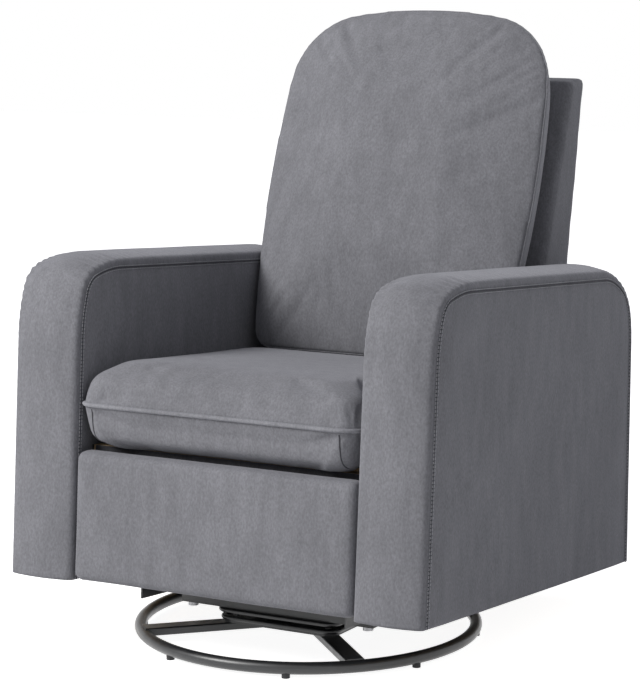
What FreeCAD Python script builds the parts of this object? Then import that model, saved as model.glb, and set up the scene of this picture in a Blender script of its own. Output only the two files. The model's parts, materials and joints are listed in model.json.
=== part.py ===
import FreeCAD, Part
import math
import os

from FreeCAD import Vector

# Swivel glider recliner. Millimetres, +Z up, sitter faces -Y, +X is the sitter's left.
# The origin is on the floor under the middle of the chair's bounding box.
# The upholstered body is drawn upright in its own body frame, then pitched back as it hangs
# on the glide links: a body point turns by PITCH about X through (BODY_Y, PITCH_Z).

PITCH = 4.5
PITCH_Z = 300.0
BODY_Y = -24.0
SWIVEL_Y = -115.0

# Ring base and swivel bearing, measured from the swivel axis
RING_RADIUS = 294.0
TUBE_RADIUS = 10.5
GLIDE_FEET = 8
GLIDE_RADIUS = 7.0
FOOT_HEIGHT = 6.0
SPOKE_WIDTH = 33.0
SPOKE_LOW = 15.0
SPOKE_TOP = 29.0
SPOKE_START = 60.0
HUB_HALF = 114.0
HUB_THICK = 4.0
RACE_HALF = 118.0
RACE_CORNER = 26.0
RACE_SHEET = 3.0
RACE_RIM = 8.0
LOWER_RACE_Z = 33.0
UPPER_RACE_TOP = 55.0
BALL_CIRCLE = 86.0
BALL_RADIUS = 4.5
BALLS = 16
BALL_GAP = 0.3
PIVOT_BOLT_RADIUS = 8.0
RUNNING = 0.05

# Glide cradle and swing links
CRADLE_HALF = 190.0
RAIL_DEPTH = 25.0
RAIL_TOP = 80.0
RAIL_WALL = 3.0
LINK_LENGTH = 112.0
LINK_SPAN = 220.0
FRONT_PIVOT_Z = 200.0
LINK_WIDTH = 26.0
LINK_THICK = 4.0
LINK_INNER_X = 192.0
PIN_RADIUS = 5.0
BUSH_RADIUS = 8.0
TOWER_SHEET = 4.0
BOLT_RADIUS = 5.0
BOLT_HEAD_RADIUS = 9.0
BOLT_X = 174.0

# Body: arms, in the body frame
BODY_HALF = 395.0
ARM_THICK = 124.0
ARM_INNER = BODY_HALF - ARM_THICK
ARM_BOTTOM = 98.0
ARM_FRONT = -410.0
ARM_TOP = 638.0
ARM_REAR_AT_300 = 413.0
ARM_REAR_LEAN = 4.0
ARM_CROWN = 10.5
ARM_FRONT_CORNER = [(275.5, 17.0), (55.5, 55.0), (255.5, 18.0)]
ARM_REAR_CORNER = [(183.5, 30.0), (104.5, 46.0), (270.0, 10.0)]
ARM_PAD = 16.0
BOARD = 18.0

# Seat box
PLATE_SHEET = 4.0
PLATE_IN = ARM_INNER - PLATE_SHEET
PLATE_LOW = 250.0
RAIL_LINE_Z = 72.9
CARRIAGE_RAIL_HEIGHT = 26.0
CROSS_BAR_LOW = 86.0
CROSS_BAR_TOP = 98.0
CROSS_BAR_FRONT_Y = -285.0
CROSS_BAR_REAR_Y = 125.0
CROSS_BAR_DEPTH = 30.0
DECK_Z = 325.0
FRONT_RAIL_Y = (-356.0, -330.0)
REAR_RAIL_Y = (176.0, 202.0)
SEAT_RAIL_HEIGHT = 20.0

# Seat cushion, in the body frame
SEAT_HALF = 266.0
SEAT_FRONT = -415.0
SEAT_REAR = 118.0
SEAT_CORNER = 46.0
SEAT_PULL = 3.0
SEAT_SECTIONS = [
    (325.0, 0.94), (333.0, 0.975), (350.0, 0.996), (399.0, 1.0), (440.0, 0.996), (455.0, 0.97),
    (465.0, 0.90), (471.5, 0.78), (475.5, 0.60), (477.5, 0.36), (478.0, 0.12),
]

# Back, in the body frame
BACK_HALF = 264.0
BACK_LEAN = 15.5
BACK_PIVOT_Y = 300.0
BACK_PIVOT_Z = 330.0
BACK_SHEET = 2.5
CUSHION_SEAM_Y = 175.0
CUSHION_SEAM_Z = 640.0
CUSHION_TOP_S = 474.0
CUSHION_MIDDLE_S = 215.0
CUSHION_DEPTH = 100.0
BACK_FOOT = (40.0, 81.8)
BACK_SIDE = (2100.0, 13.25)
BACK_SHOULDER = (139.0, 75.45)
BACK_CROWN = (900.0, 19.0)
BACK_SECTIONS = [
    (-CUSHION_DEPTH, 0.84), (-91.0, 0.87), (-60.0, 0.925), (-30.0, 0.965), (-8.0, 0.99), (0.0, 0.997), (12.0, 0.967),
    (22.0, 0.925), (31.0, 0.85), (38.0, 0.72), (43.0, 0.53), (46.0, 0.30), (47.0, 0.1),
]

# Footrest linkage, side view. f runs forward (f = -y), z up, body frame.
LINK_SHEET = 3.0
F_J1 = (215.0, 286.0)
F_REAR_LINK = 165.0
F_REAR_LINK_REST = -105.0
F_BOARD_PIVOT = (345.0, 289.0)
F_J3 = (165.0, 302.0)
F_C2_OFFSET = (-40.0, 1.4)
F_M1_OFFSET = (-92.9, -147.8)
F_B4_OFFSET = (-59.35, 8.8)
F_PIN = 4.0
F_EYE = 11.0
F_OPEN_PLAY = 2.4
PLANE_CONTROL = 262.5
PLANE_FRONT = 258.0
PLANE_REAR = 253.5
PLANE_BOARD = 249.0
PLANE_BRACKET = 244.5
PAD_HALF = 268.5
PAD_LOW = 99.0
PAD_TOP = 320.0
PAD_FRONT = -412.0
PAD_REAR = -372.0
FOOT_BOARD_REAR = -360.0

# Release handle in the outer face of the right arm (-X), body frame
HANDLE_Y = -190.0
HANDLE_Z = 440.0
HANDLE_LENGTH = 120.0
HANDLE_HEIGHT = 56.0
HANDLE_DEPTH = 26.0
HANDLE_WALL = 3.0
HANDLE_FLANGE = 3.0


def box(x0, x1, y0, y1, z0, z1):
    return Part.makeBox(x1 - x0, y1 - y0, z1 - z0, Vector(x0, y0, z0))


def rod_z(radius, x, y, z0, z1):
    return Part.makeCylinder(radius, z1 - z0, Vector(x, y, z0), Vector(0, 0, 1))


def rod_x(radius, x0, x1, y, z):
    return Part.makeCylinder(radius, x1 - x0, Vector(x0, y, z), Vector(1, 0, 0))


def hexagon(across, x, y, z0, z1):
    radius = across / math.sqrt(3.0)
    points = [
        Vector(x + radius * math.cos(math.radians(60 * k)), y + radius * math.sin(math.radians(60 * k)), z0)
        for k in range(7)
    ]
    return Part.Face(Part.makePolygon(points)).extrude(Vector(0, 0, z1 - z0))


def travel(heading, steps):
    """How far a chain of clockwise arcs (radius, turn) moves from its start."""
    angle = math.radians(heading)
    u = v = 0.0
    for radius, turn in steps:
        after = angle - math.radians(turn)
        u += radius * (math.sin(angle) - math.sin(after))
        v += radius * (math.cos(after) - math.cos(angle))
        angle = after
    return u, v


def outline(place, start, heading, steps, grow=0.0):
    """Closed wire of tangent lines (length, None) and clockwise arcs (radius, turn).

    grow moves every line and arc outwards, to the left of the way it runs."""
    angle = math.radians(heading)
    u = start[0] - grow * math.sin(angle)
    v = start[1] + grow * math.cos(angle)
    first = (u, v)
    edges = []
    for number, (size, turn) in enumerate(steps):
        here = place(u, v)
        if turn is None:
            u += size * math.cos(angle)
            v += size * math.sin(angle)
        else:
            radius = size + grow
            cu = u + radius * math.sin(angle)
            cv = v - radius * math.cos(angle)
            middle = angle - math.radians(turn) / 2
            angle -= math.radians(turn)
            u = cu - radius * math.sin(angle)
            v = cv + radius * math.cos(angle)
        last = number == len(steps) - 1
        if last and math.hypot(u - first[0], v - first[1]) < 0.01:
            u, v = first
        if turn is None:
            edges.append(Part.makeLine(here, place(u, v)))
        else:
            through = place(cu - radius * math.sin(middle), cv + radius * math.cos(middle))
            edges.append(Part.Arc(here, through, place(u, v)).toShape())
    if math.hypot(u - first[0], v - first[1]) > 0.001:
        edges.append(Part.makeLine(place(u, v), place(*first)))
    return Part.Wire(edges)


def side_view(x):
    return lambda y, z: Vector(x, y, z)


def plan_view(z):
    return lambda x, y: Vector(x, y, z)


def slab(wire, vector):
    return Part.Face(wire).extrude(vector)


def side_plate(points, x0, x1):
    """Flat plate across X from its side view, (y, z) corners."""
    corners = [Vector(x0, y, z) for y, z in points + points[:1]]
    return slab(Part.makePolygon(corners), Vector(x1 - x0, 0, 0))


def bar(points, width, x0, x1):
    """Flat link of the given width with a round end at each (y, z) point."""
    pieces = [rod_x(width / 2, x0, x1, y, z) for y, z in points]
    for (ya, za), (yb, zb) in zip(points, points[1:]):
        length = math.hypot(yb - ya, zb - za)
        ny = -(zb - za) / length * width / 2
        nz = (yb - ya) / length * width / 2
        corners = [(ya + ny, za + nz), (yb + ny, zb + nz), (yb - ny, zb - nz), (ya - ny, za - nz)]
        pieces.append(side_plate(corners, x0, x1))
    return pieces[0].fuse(pieces[1:]).removeSplitter()


def rounded_plan(half_x, half_y, corner, z, centre_y=0.0, grow=0.0):
    """Rounded rectangle seen from above."""
    quarter = (corner, 90.0)
    across = (2 * (half_x - corner), None)
    along = (2 * (half_y - corner), None)
    start = (half_x - corner, centre_y - half_y)
    return outline(plan_view(z), start, 180.0, [across, quarter, along, quarter] * 2, grow)


def mirrored(shape):
    return shape.mirror(Vector(0, 0, 0), Vector(1, 0, 0))


def both(shape):
    return Part.Compound([shape, mirrored(shape)])


def group(shapes):
    return Part.Compound(list(shapes))


def on_swivel(shape):
    """Moves a piece drawn about the swivel axis to its place."""
    moved = shape.copy()
    moved.translate(Vector(0, SWIVEL_Y, 0))
    return moved


def in_body(shape):
    """Pitches a piece of the upholstered body back to its resting place."""
    moved = shape.copy()
    moved.rotate(Vector(0, 0, PITCH_Z), Vector(1, 0, 0), -PITCH)
    moved.translate(Vector(0, BODY_Y, 0))
    return moved


def to_body_frame(y, z):
    """The body-frame place of a point that is known in the row frame."""
    tilt = math.radians(PITCH)
    y = y - BODY_Y
    rise = z - PITCH_Z
    return (
        y * math.cos(tilt) - rise * math.sin(tilt),
        y * math.sin(tilt) + rise * math.cos(tilt) + PITCH_Z,
    )


# Ring base


def base_ring():
    centre_z = FOOT_HEIGHT + TUBE_RADIUS
    return on_swivel(Part.makeTorus(RING_RADIUS, TUBE_RADIUS, Vector(0, 0, centre_z), Vector(0, 0, 1)))


def base_spokes():
    ring = Part.makeTorus(RING_RADIUS, TUBE_RADIUS, Vector(0, 0, FOOT_HEIGHT + TUBE_RADIUS))
    half = SPOKE_WIDTH / 2
    blank = box(SPOKE_START, RING_RADIUS, -half, half, SPOKE_LOW, SPOKE_TOP)
    blank = blank.makeFillet(3.0, [e for e in blank.Edges if abs(e.Length - (RING_RADIUS - SPOKE_START)) < 0.1])
    spokes = []
    for quarter in range(4):
        spoke = blank.copy()
        spoke.rotate(Vector(0, 0, 0), Vector(0, 0, 1), 45.0 + 90.0 * quarter)
        spokes.append(spoke.cut(ring))
    return on_swivel(group(spokes))


def base_glides():
    ring = Part.makeTorus(RING_RADIUS, TUBE_RADIUS, Vector(0, 0, FOOT_HEIGHT + TUBE_RADIUS))
    feet = []
    for number in range(GLIDE_FEET):
        angle = math.radians(22.5 + 360.0 / GLIDE_FEET * number)
        x = RING_RADIUS * math.cos(angle)
        y = RING_RADIUS * math.sin(angle)
        feet.append(rod_z(GLIDE_RADIUS, x, y, 0, FOOT_HEIGHT + 2.5).cut(ring))
    return on_swivel(group(feet))


def hub_plate():
    plate = slab(rounded_plan(HUB_HALF, HUB_HALF, RACE_CORNER, SPOKE_TOP), Vector(0, 0, HUB_THICK))
    return on_swivel(plate.cut(rod_z(PIVOT_BOLT_RADIUS, 0, 0, 0, 60)))


def race_pan(half, low, high):
    """Shallow square pan with a rounded rim; its sheet is at the low side."""
    rim = slab(rounded_plan(half, half, RACE_CORNER, low), Vector(0, 0, high - low))
    across = [e for e in rim.Edges if abs(e.BoundBox.ZMax - e.BoundBox.ZMin) < 0.01]
    rim = rim.makeFillet(RACE_RIM / 2 - 0.1, across)
    inner = half - RACE_RIM
    hollow = slab(rounded_plan(inner, inner, RACE_CORNER - RACE_RIM, low + RACE_SHEET), Vector(0, 0, high))
    return rim.cut(hollow)


def race_track(low, high, ball_z):
    """Raised ring with a groove for the balls."""
    track = rod_z(BALL_CIRCLE + 12, 0, 0, low, high).cut(rod_z(BALL_CIRCLE - 12, 0, 0, low - 1, high + 1))
    groove = Part.makeTorus(BALL_CIRCLE, BALL_RADIUS + BALL_GAP, Vector(0, 0, ball_z))
    return track.cut(groove)


def ball_height():
    return (LOWER_RACE_Z + UPPER_RACE_TOP) / 2


def swivel_lower_race():
    pan = race_pan(RACE_HALF, LOWER_RACE_Z, LOWER_RACE_Z + RACE_RIM)
    track = race_track(LOWER_RACE_Z + RACE_SHEET, ball_height() - 1.5, ball_height())
    race = pan.fuse(track).cut(rod_z(PIVOT_BOLT_RADIUS, 0, 0, 0, 60))
    return on_swivel(race.removeSplitter())


def swivel_upper_race():
    pan = race_pan(RACE_HALF + 3, 0, RACE_RIM)
    pan.rotate(Vector(0, 0, 0), Vector(1, 0, 0), 180.0)
    pan.translate(Vector(0, 0, UPPER_RACE_TOP))
    track = race_track(ball_height() + 1.5, UPPER_RACE_TOP - RACE_SHEET, ball_height())
    race = pan.fuse(track).cut(rod_z(PIVOT_BOLT_RADIUS + RUNNING, 0, 0, 0, 60))
    return on_swivel(race.removeSplitter())


def ball_places():
    for number in range(BALLS):
        angle = 2 * math.pi * number / BALLS
        yield BALL_CIRCLE * math.cos(angle), BALL_CIRCLE * math.sin(angle)


def bearing_balls():
    balls = [Part.makeSphere(BALL_RADIUS, Vector(x, y, ball_height())) for x, y in ball_places()]
    return on_swivel(group(balls))


def bearing_cage():
    low = ball_height() - 0.9
    high = ball_height() + 0.9
    cage = rod_z(BALL_CIRCLE + 9, 0, 0, low, high).cut(rod_z(BALL_CIRCLE - 9, 0, 0, low - 1, high + 1))
    pockets = [rod_z(BALL_RADIUS, x, y, low - 1, high + 1) for x, y in ball_places()]
    return on_swivel(cage.cut(group(pockets)))


def swivel_pivot_bolt():
    shank = rod_z(PIVOT_BOLT_RADIUS, 0, 0, SPOKE_TOP, 70.0)
    return on_swivel(shank.fuse(hexagon(26.0, 0, 0, 19.0, SPOKE_TOP)).removeSplitter())


def swivel_pivot_nut():
    washer = rod_z(19.0, 0, 0, UPPER_RACE_TOP + 0.3, 58.0)
    nut = washer.fuse(hexagon(24.0, 0, 0, 58.0, 68.0))
    return on_swivel(nut.cut(rod_z(PIVOT_BOLT_RADIUS, 0, 0, 0, 80)).removeSplitter())


def hub_bolts():
    """Short bolts that hold the lower race on the hub plate, heads inside the pan."""
    bolts = []
    for quarter in range(4):
        angle = math.radians(45 + 90 * quarter)
        x = 130.0 * math.cos(angle)
        y = 130.0 * math.sin(angle)
        bolts.append(rod_z(6.0, x, y, LOWER_RACE_Z + RACE_SHEET, LOWER_RACE_Z + RACE_SHEET + 3.5))
    return on_swivel(group(bolts))


# Glide cradle, which turns on the swivel


def upper_pivots():
    """Upper link pivots, front then rear, as (y, z) in the row frame."""
    front = (SWIVEL_Y - LINK_SPAN / 2, FRONT_PIVOT_Z)
    rear = (SWIVEL_Y + LINK_SPAN / 2, FRONT_PIVOT_Z - LINK_SPAN * math.tan(math.radians(PITCH)))
    return [front, rear]


def cradle_rail_y(end):
    """Near and far face of a cradle cross rail. end is -1 for the front, 1 for the rear."""
    middle = SWIVEL_Y + end * (LINK_SPAN / 2 - 9.0)
    return middle - RAIL_DEPTH / 2, middle + RAIL_DEPTH / 2


def cradle_cross_rail(end):
    """Square tube across the swivel; its ends carry the towers."""
    y0, y1 = cradle_rail_y(end)
    tube = box(-CRADLE_HALF, CRADLE_HALF, y0, y1, UPPER_RACE_TOP, RAIL_TOP)
    hollow = box(
        -CRADLE_HALF - 1, CRADLE_HALF + 1, y0 + RAIL_WALL, y1 - RAIL_WALL,
        UPPER_RACE_TOP + RAIL_WALL, RAIL_TOP - RAIL_WALL,
    )
    middle = (y0 + y1) / 2
    holes = [rod_z(BOLT_RADIUS, x, middle, 0, 100) for x in (-BOLT_X, BOLT_X)]
    return tube.cut(hollow).cut(group(holes))


def cradle_side_rails():
    y0 = cradle_rail_y(-1)[1]
    y1 = cradle_rail_y(1)[0]
    return both(box(158, 184, y0, y1, 60, 76))


def cradle_towers():
    """Upright brackets; each stands on a cross rail and carries an upper link pivot."""
    towers = []
    for end, (pivot_y, pivot_z) in zip((-1, 1), upper_pivots()):
        y0, y1 = cradle_rail_y(end)
        middle = (y0 + y1) / 2
        foot = box(156, CRADLE_HALF, y0, y1, RAIL_TOP, RAIL_TOP + TOWER_SHEET)
        foot = foot.cut(rod_z(BOLT_RADIUS, BOLT_X, middle, 0, 100))
        inner = CRADLE_HALF - TOWER_SHEET
        web = side_plate(
            [(y0, RAIL_TOP), (y1, RAIL_TOP), (pivot_y + 13, pivot_z), (pivot_y - 13, pivot_z)],
            inner, CRADLE_HALF,
        )
        web = web.fuse(rod_x(13.0, inner, CRADLE_HALF, pivot_y, pivot_z))
        tower = web.fuse(foot).cut(rod_x(PIN_RADIUS, 150, 200, pivot_y, pivot_z)).removeSplitter()
        towers += [tower, mirrored(tower)]
    return group(towers)


def cradle_bolts():
    """Heads under the cross rails, nuts on the tower feet."""
    bolts = []
    for end in (-1, 1):
        middle = sum(cradle_rail_y(end)) / 2
        for x in (-BOLT_X, BOLT_X):
            top = RAIL_TOP + TOWER_SHEET
            bolt = rod_z(BOLT_RADIUS, x, middle, UPPER_RACE_TOP - 0.5, top + 9)
            bolt = bolt.fuse(rod_z(BOLT_HEAD_RADIUS, x, middle, UPPER_RACE_TOP - 7, UPPER_RACE_TOP))
            bolts.append(bolt.fuse(hexagon(16, x, middle, top, top + 7)).removeSplitter())
    return group(bolts)


def upper_link_pins():
    pins = []
    for y, z in upper_pivots():
        inner = CRADLE_HALF - TOWER_SHEET
        outer = LINK_INNER_X + LINK_THICK + 0.3
        pin = rod_x(PIN_RADIUS, inner - 4, outer + 3, y, z)
        pin = pin.fuse(rod_x(8.0, inner - 4, inner, y, z)).fuse(rod_x(8.0, outer, outer + 3, y, z))
        pins += [pin.removeSplitter(), mirrored(pin.removeSplitter())]
    return group(pins)


# Swing links


def swing_links(number):
    y, z = upper_pivots()[number]
    outer = LINK_INNER_X + LINK_THICK
    link = bar([(y, z), (y, z - LINK_LENGTH)], LINK_WIDTH, LINK_INNER_X, outer)
    for height in (z, z - LINK_LENGTH):
        link = link.cut(rod_x(BUSH_RADIUS, LINK_INNER_X - 1, outer + 1, y, height))
    return both(link)


def link_bushes(number):
    y, z = upper_pivots()[number]
    outer = LINK_INNER_X + LINK_THICK
    bushes = []
    for height in (z, z - LINK_LENGTH):
        bush = rod_x(BUSH_RADIUS, LINK_INNER_X, outer, y, height)
        bush = bush.cut(rod_x(PIN_RADIUS + RUNNING, LINK_INNER_X - 1, outer + 1, y, height))
        bushes += [bush, mirrored(bush)]
    return group(bushes)


# Carriage, which hangs on the links and carries the seat


def lower_pivots():
    """Lower link pivots, front then rear, in the body frame."""
    return [to_body_frame(y, z - LINK_LENGTH) for y, z in upper_pivots()]


def carriage_rails():
    web_x = LINK_INNER_X + LINK_THICK + 2
    low = RAIL_LINE_Z - CARRIAGE_RAIL_HEIGHT / 2
    y0 = CROSS_BAR_FRONT_Y - CROSS_BAR_DEPTH / 2
    y1 = CROSS_BAR_REAR_Y + CROSS_BAR_DEPTH / 2
    web = box(web_x, web_x + 3, y0, y1, low, CROSS_BAR_LOW)
    flange = box(web_x, web_x + 26, y0, y1, CROSS_BAR_LOW - 3, CROSS_BAR_LOW)
    rail = web.fuse(flange).removeSplitter()
    for y, z in lower_pivots():
        rail = rail.cut(rod_x(PIN_RADIUS, web_x - 5, web_x + 20, y, z))
    return in_body(both(rail))


def lower_link_pins():
    web_x = LINK_INNER_X + LINK_THICK + 2
    pins = []
    for y, z in lower_pivots():
        pin = rod_x(PIN_RADIUS, LINK_INNER_X - 1, web_x + 7, y, z)
        pin = pin.fuse(rod_x(8.0, web_x + 3, web_x + 7, y, z))
        pin = pin.fuse(rod_x(8.0, web_x - 1.6, web_x, y, z)).removeSplitter()
        pins += [pin, mirrored(pin)]
    return in_body(group(pins))


def cross_bars():
    bars = []
    for middle in (CROSS_BAR_FRONT_Y, CROSS_BAR_REAR_Y):
        y0 = middle - CROSS_BAR_DEPTH / 2
        y1 = middle + CROSS_BAR_DEPTH / 2
        tube = box(-ARM_INNER, ARM_INNER, y0, y1, CROSS_BAR_LOW, CROSS_BAR_TOP)
        inside = box(-ARM_INNER - 1, ARM_INNER + 1, y0 + 2, y1 - 2, CROSS_BAR_LOW + 2, CROSS_BAR_TOP - 2)
        bars.append(tube.cut(inside))
    return in_body(group(bars))


def mechanism_side_plates():
    """Stamped plates on the arms' inner faces, which carry the footrest and back pivots."""
    profile = [
        (-358, DECK_Z), (-358, 298), (-322, 268), (-292, PLATE_LOW), (140, PLATE_LOW), (250, 276),
        (284, 304), (326, 314), (326, 350), (272, 350), (206, DECK_Z),
    ]
    plate = side_plate(profile, PLATE_IN, ARM_INNER)
    plate = plate.cut(bar([(-90, 286), (60, 286)], 30, PLATE_IN - 1, ARM_INNER + 1))
    for y, z, radius in plate_holes():
        plate = plate.cut(rod_x(radius, PLATE_IN - 1, ARM_INNER + 1, y, z))
    return in_body(both(plate))


def mechanism_legs():
    """Angle legs from the cross bars up to the side plates, each with a foot."""
    legs = []
    for middle in (CROSS_BAR_FRONT_Y, CROSS_BAR_REAR_Y):
        y0 = middle - CROSS_BAR_DEPTH / 2
        y1 = middle + CROSS_BAR_DEPTH / 2
        leg = box(PLATE_IN, ARM_INNER, y0, y1, CROSS_BAR_TOP, PLATE_LOW)
        leg = leg.cut(bar([(middle, 150), (middle, 205)], 12, PLATE_IN - 1, ARM_INNER + 1))
        foot = box(PLATE_IN - 31, PLATE_IN, y0, y1, CROSS_BAR_TOP, CROSS_BAR_TOP + LINK_SHEET)
        leg = leg.fuse(foot).removeSplitter()
        legs += [leg, mirrored(leg)]
    return in_body(group(legs))


def plate_holes():
    j1, j3 = F_J1, F_J3
    return [(-j1[0], j1[1], F_PIN), (-j3[0], j3[1], F_PIN), (BACK_PIVOT_Y, BACK_PIVOT_Z, 8.0)]


def carriage_bolts():
    """Round-head bolts through the plate feet into the cross bars."""
    heads = []
    for middle in (CROSS_BAR_FRONT_Y, CROSS_BAR_REAR_Y):
        for x in (-250, 250):
            heads.append(rod_z(8.0, x, middle, CROSS_BAR_TOP + 3, CROSS_BAR_TOP + 8))
    return in_body(group(heads))


def seat_rail(y0, y1, height):
    return in_body(box(-PLATE_IN, PLATE_IN, y0, y1, DECK_Z - height, DECK_Z))


def seat_webbing():
    """Elastic straps: four from rail to rail, three across between the plates."""
    straps = []
    for x in (-171, -57, 57, 171):
        straps.append(box(x - 28, x + 28, FRONT_RAIL_Y[1], REAR_RAIL_Y[0], 321, 323))
    for y in (-100, 0, 100):
        straps.append(box(-PLATE_IN, PLATE_IN, y - 25, y + 25, 318.8, 320.8))
    return in_body(group(straps))


# Arms


def arm_steps():
    front = travel(90.0, ARM_FRONT_CORNER)
    rear = travel(0.0, ARM_REAR_CORNER)
    lean = math.tan(math.radians(ARM_REAR_LEAN))
    front_height = ARM_TOP - ARM_BOTTOM - front[1]
    rear_z = ARM_TOP + rear[1]
    rear_y = ARM_REAR_AT_300 - (rear_z - 300.0) * lean
    top_length = rear_y - rear[0] - ARM_FRONT - front[0]
    rear_length = (rear_z - ARM_BOTTOM) / math.cos(math.radians(ARM_REAR_LEAN))
    steps = [(front_height, None)] + ARM_FRONT_CORNER + [(top_length, None)]
    return steps + ARM_REAR_CORNER + [(rear_length, None)]


def arm_outline(x, grow):
    return outline(side_view(x), (ARM_FRONT, ARM_BOTTOM), 90.0, arm_steps(), grow)


def arm_form():
    """Outer form of the left arm: flat side panels and a crowned strip between them."""
    half = ARM_THICK / 2
    middle = ARM_INNER + half
    sections = []
    for share in (-1.0, -0.72, 0.0, 0.72, 1.0):
        sections.append(arm_outline(middle + share * half, ARM_CROWN * (1 - share * share)))
    return Part.makeLoft(sections, True, False)


def arm_hollow():
    wire = arm_outline(ARM_INNER + ARM_PAD, -ARM_PAD)
    hollow = slab(wire, Vector(ARM_THICK - 2 * ARM_PAD, 0, 0))
    low = box(ARM_INNER + ARM_PAD, BODY_HALF - ARM_PAD, ARM_FRONT + ARM_PAD, 408, ARM_BOTTOM - 5, ARM_BOTTOM + 5)
    return hollow.fuse(low)


def arm_cover(side):
    """Padded cover over the arm frame, open below. side is 1 for the left arm, -1 for the right."""
    cover = arm_form().cut(arm_hollow())
    if side < 0:
        cover = mirrored(cover).cut(handle_block(0.0))
    return in_body(cover)


def arm_frame(side):
    """Cut plywood profile with rails and posts standing on it."""
    x0 = ARM_INNER + ARM_PAD + 0.5
    x1 = x0 + BOARD
    x2 = BODY_HALF - ARM_PAD - 0.5
    board = slab(arm_outline(x0, -ARM_PAD - 0.5), Vector(BOARD, 0, 0))
    board = board.cut(box(x0 - 1, x1 + 1, -335, -20, 180, 565))
    board = board.cut(box(x0 - 1, x1 + 1, 30, 320, 180, 545))
    parts = [
        box(x1, x2, -385, 395, ARM_BOTTOM, ARM_BOTTOM + BOARD),
        box(x1, x2, -270, 240, 596, 596 + BOARD),
        box(x1, x2, -388, -370, ARM_BOTTOM + BOARD, 520),
        box(x1, x2, 358, 376, ARM_BOTTOM + BOARD, 480),
    ]
    frame = board.fuse(parts).removeSplitter()
    return in_body(frame if side > 0 else mirrored(frame))


# Seat cushion and back


def drawn_in(half_length):
    """Arc of a cushion's side that is drawn in by SEAT_PULL midway, and half the angle it turns."""
    radius = (half_length ** 2 + SEAT_PULL ** 2) / (2 * SEAT_PULL)
    half_turn = math.degrees(math.asin(half_length / radius))
    return (-radius, -2 * half_turn), half_turn


def seat_outline(z, share):
    """Plan of the seat cushion at a height, scaled about its middle."""
    across, turn_x = drawn_in(SEAT_HALF - SEAT_CORNER)
    along, turn_y = drawn_in((SEAT_REAR - SEAT_FRONT) / 2 - SEAT_CORNER)
    corner = (SEAT_CORNER, 90.0 + turn_x + turn_y)
    half_way = [(radius * share, turn) for radius, turn in (across, corner, along, corner)]
    heading = 180.0 - turn_x
    run, rise = travel(heading, half_way)
    start = (-run / 2, (SEAT_FRONT + SEAT_REAR) / 2 - rise / 2)
    return outline(plan_view(z), start, heading, half_way * 2)


def smooth_loft(sections):
    """Closed soft form through its section wires, with low-degree patches so that none swings out."""
    return Part.makeLoft(sections, True, False, False, 2)


def seat_cushion():
    return in_body(smooth_loft([seat_outline(z, share) for z, share in SEAT_SECTIONS]))


def back_place(depth):
    """Turns (x, s) on the leaning back plane into a body point; depth is forward of the seam."""
    lean = math.radians(BACK_LEAN)
    return lambda x, s: Vector(
        x,
        CUSHION_SEAM_Y + s * math.sin(lean) - depth * math.cos(lean),
        CUSHION_SEAM_Z + s * math.cos(lean) + depth * math.sin(lean),
    )


def back_outline(depth, share):
    """Arched cushion outline from the middle of its bottom edge, scaled about the cushion's middle."""
    left = [(radius * share, turn) for radius, turn in (BACK_FOOT, BACK_SIDE, BACK_SHOULDER)]
    crown_radius = BACK_CROWN[0] * share
    run, rise = travel(180.0, left + [(crown_radius, BACK_CROWN[1] / 2)])
    steps = [(run, None)] + left + [(crown_radius, BACK_CROWN[1])] + left[::-1] + [(run, None)]
    top = CUSHION_MIDDLE_S + (CUSHION_TOP_S - CUSHION_MIDDLE_S) * share
    return outline(back_place(depth), (0.0, top - rise), 180.0, steps)


def back_cushion():
    return in_body(smooth_loft([back_outline(depth, share) for depth, share in BACK_SECTIONS]))


def back_front_y(z):
    """Front face of the back cover, where the cushion's rear face rests."""
    lean = math.radians(BACK_LEAN)
    return CUSHION_SEAM_Y + (z - CUSHION_SEAM_Z) * math.tan(lean) + CUSHION_DEPTH / math.cos(lean)


def back_rear_y(z):
    return 396.0 + (z - 647.0) * 0.108


def back_form():
    """Upholstered wedge; its lower edge is round about the recline pivot."""
    lean = math.atan(0.108)
    reach = (back_rear_y(BACK_PIVOT_Z) - BACK_PIVOT_Y) * math.cos(lean)

    def on_circle(angle):
        return Vector(
            -BACK_HALF, BACK_PIVOT_Y + reach * math.cos(angle), BACK_PIVOT_Z + reach * math.sin(angle)
        )

    end = math.radians(-155.0)
    tangent = on_circle(-lean)
    corners = [
        on_circle(end), Vector(-BACK_HALF, back_front_y(400), 400), Vector(-BACK_HALF, back_front_y(974), 974),
        Vector(-BACK_HALF, back_rear_y(984), 984), tangent,
    ]
    edges = [Part.makeLine(a, b) for a, b in zip(corners, corners[1:])]
    edges.append(Part.Arc(tangent, on_circle((end - lean) / 2), corners[0]).toShape())
    form = slab(Part.Wire(edges), Vector(2 * BACK_HALF, 0, 0))
    return form.makeFillet(9.0, [e for e in form.Edges if e.BoundBox.XMax - e.BoundBox.XMin < 0.01])


def back_cover():
    cavity = side_plate(
        [(235, 430), (380, 955), (415, 962), (350, 350), (330, 240), (275, 240), (250, 360)], -250, 250
    )
    return in_body(back_form().cut(cavity))


def back_frame():
    """Two plywood stiles and three rails inside the back cover."""
    stile = side_plate([(241, 440), (384, 945), (409, 950), (345, 352), (300, 345), (262, 365)], 231.5, 249.5)
    rails = [box(-231.5, 231.5, 378, 403, 905, 943), box(-231.5, 231.5, 302, 324, 620, 655)]
    rails.append(box(-231.5, 231.5, 280, 306, 370, 412))
    return in_body(rails[0].fuse([stile, mirrored(stile)] + rails[1:]).removeSplitter())


def back_webbing():
    straps = []
    for z in (480, 560, 720, 800, 870):
        y = back_front_y(z) + 24
        straps.append(box(-231.5, 231.5, y, y + 2, z - 25, z + 25))
    return in_body(group(straps))


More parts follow.
